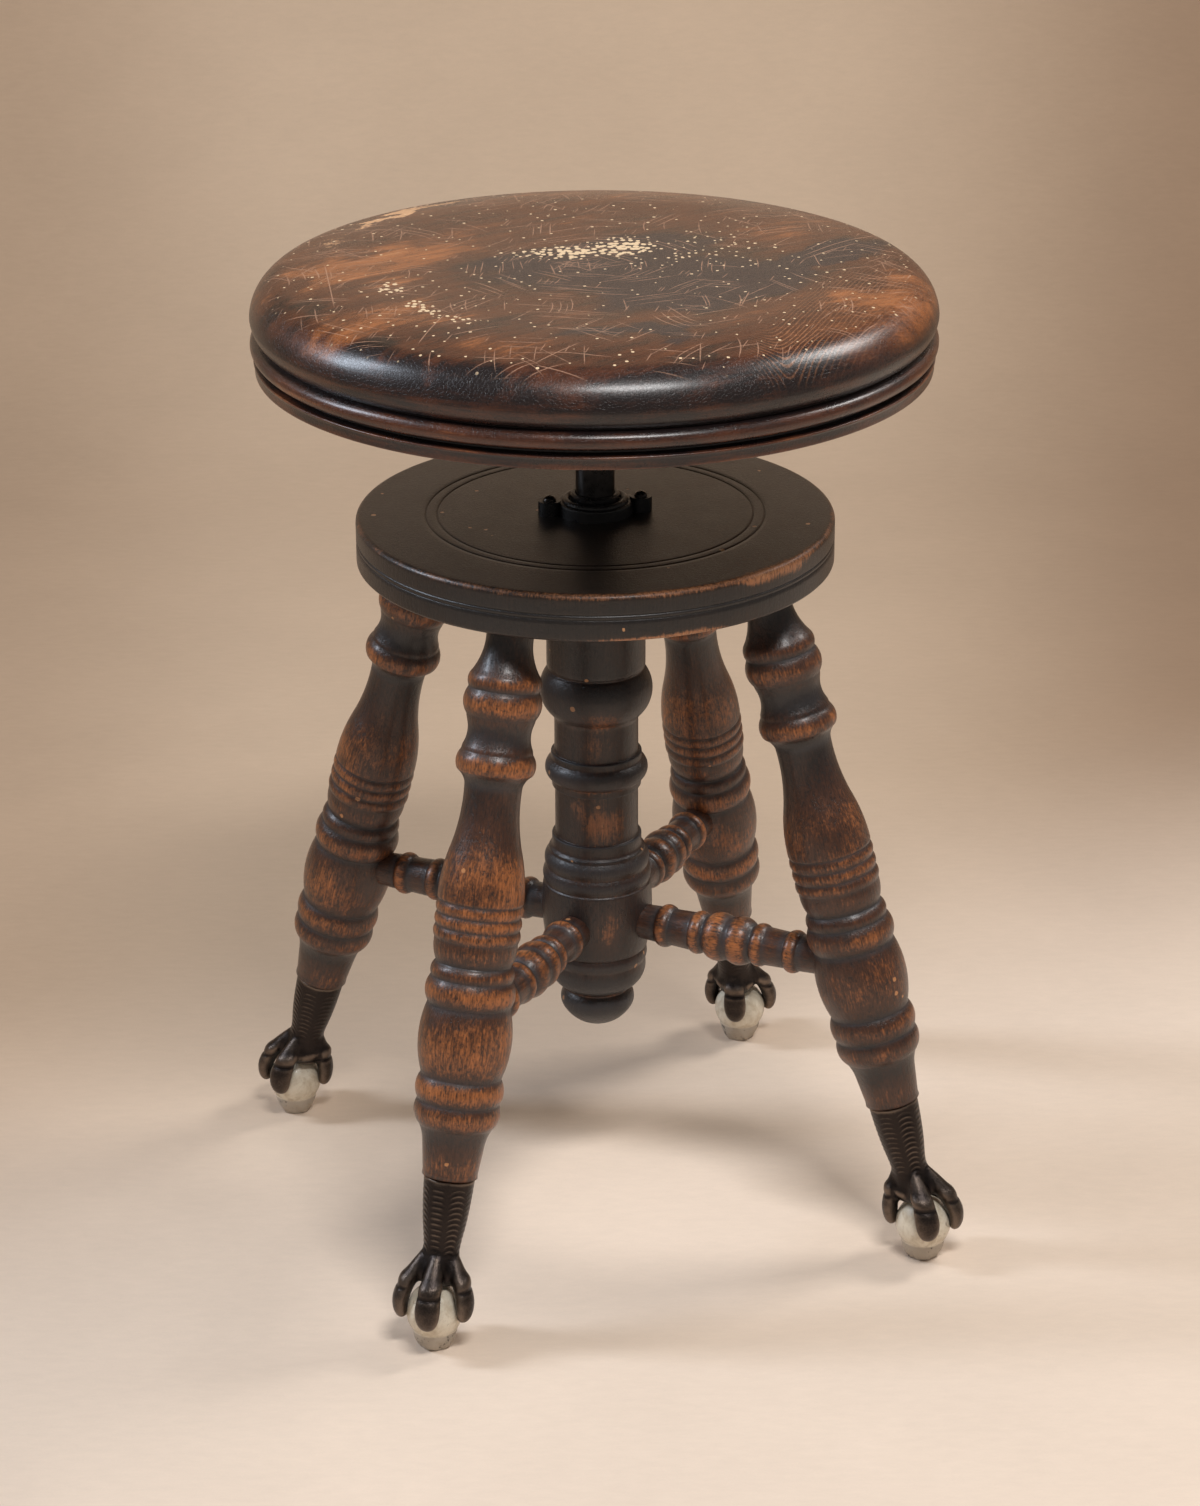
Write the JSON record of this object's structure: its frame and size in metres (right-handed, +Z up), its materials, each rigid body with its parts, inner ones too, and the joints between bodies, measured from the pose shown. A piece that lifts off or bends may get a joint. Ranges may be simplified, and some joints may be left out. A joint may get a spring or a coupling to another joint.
{
  "type": "revolving piano stool",
  "caption": "Revolving piano stool: round turned wooden seat on a lifting screw, round base, turned leaning legs braced to a centre post, and cast claw feet on glass balls.",
  "frame": {"origin": "on the floor under the middle of the centre post", "axes": "+Z up along the lifting screw; the legs stand towards +X+Y, -X+Y, -X-Y and +X-Y, and the front is towards -Y"},
  "size_m": [0.3563, 0.3564, 0.535],
  "materials": {
    "ebonised_wood": "near-black stained and polished, worn to red-brown on the edges",
    "worn_wood": "dark stain worn to orange-brown on the crowns of the turnings",
    "seat_wood": "old dark varnish, crackled and scratched, worn to brown at the rim",
    "claw_iron": "dark polished casting",
    "black_iron": "black painted casting",
    "screw_steel": "darkened steel",
    "ball_glass": "cloudy ivory pressed glass with brown stains"
  },
  "bodies": {
    "base": {"base_top": "ebonised_wood", "centre_post": "ebonised_wood", "front_left_leg": "worn_wood", "front_left_stretcher": "worn_wood", "front_left_claw_foot": "claw_iron", "front_left_glass_ball": "ball_glass", "front_left_foot_screw": "screw_steel", "front_right_leg": "worn_wood", "front_right_stretcher": "worn_wood", "front_right_claw_foot": "claw_iron", "front_right_glass_ball": "ball_glass", "front_right_foot_screw": "screw_steel", "back_right_leg": "worn_wood", "back_right_stretcher": "worn_wood", "back_right_claw_foot": "claw_iron", "back_right_glass_ball": "ball_glass", "back_right_foot_screw": "screw_steel", "back_left_leg": "worn_wood", "back_left_stretcher": "worn_wood", "back_left_claw_foot": "claw_iron", "back_left_glass_ball": "ball_glass", "back_left_foot_screw": "screw_steel", "nut_flange": "black_iron", "flange_screws": "screw_steel"},
    "lift_carrier": {"stop_washer": "black_iron"},
    "seat_assembly": {"seat": "seat_wood", "seat_spider": "black_iron", "spider_screws": "screw_steel", "lift_screw": "screw_steel", "washer_screw": "screw_steel"}
  },
  "joints": [
    {"name": "seat_lift", "type": "slide", "parent": "base", "child": "lift_carrier", "axis": [0, 0, 1], "range_m": [0, 0.108]},
    {"name": "seat_spin", "type": "hinge", "parent": "lift_carrier", "child": "seat_assembly", "pos_m": [0, 0, 0.45], "axis": [0, 0, 1], "range_deg": [0, 6480]}
  ],
  "couplings": [
    {"joint": "seat_spin", "follows": "seat_lift", "rad_per_m": 1047.2}
  ]
}
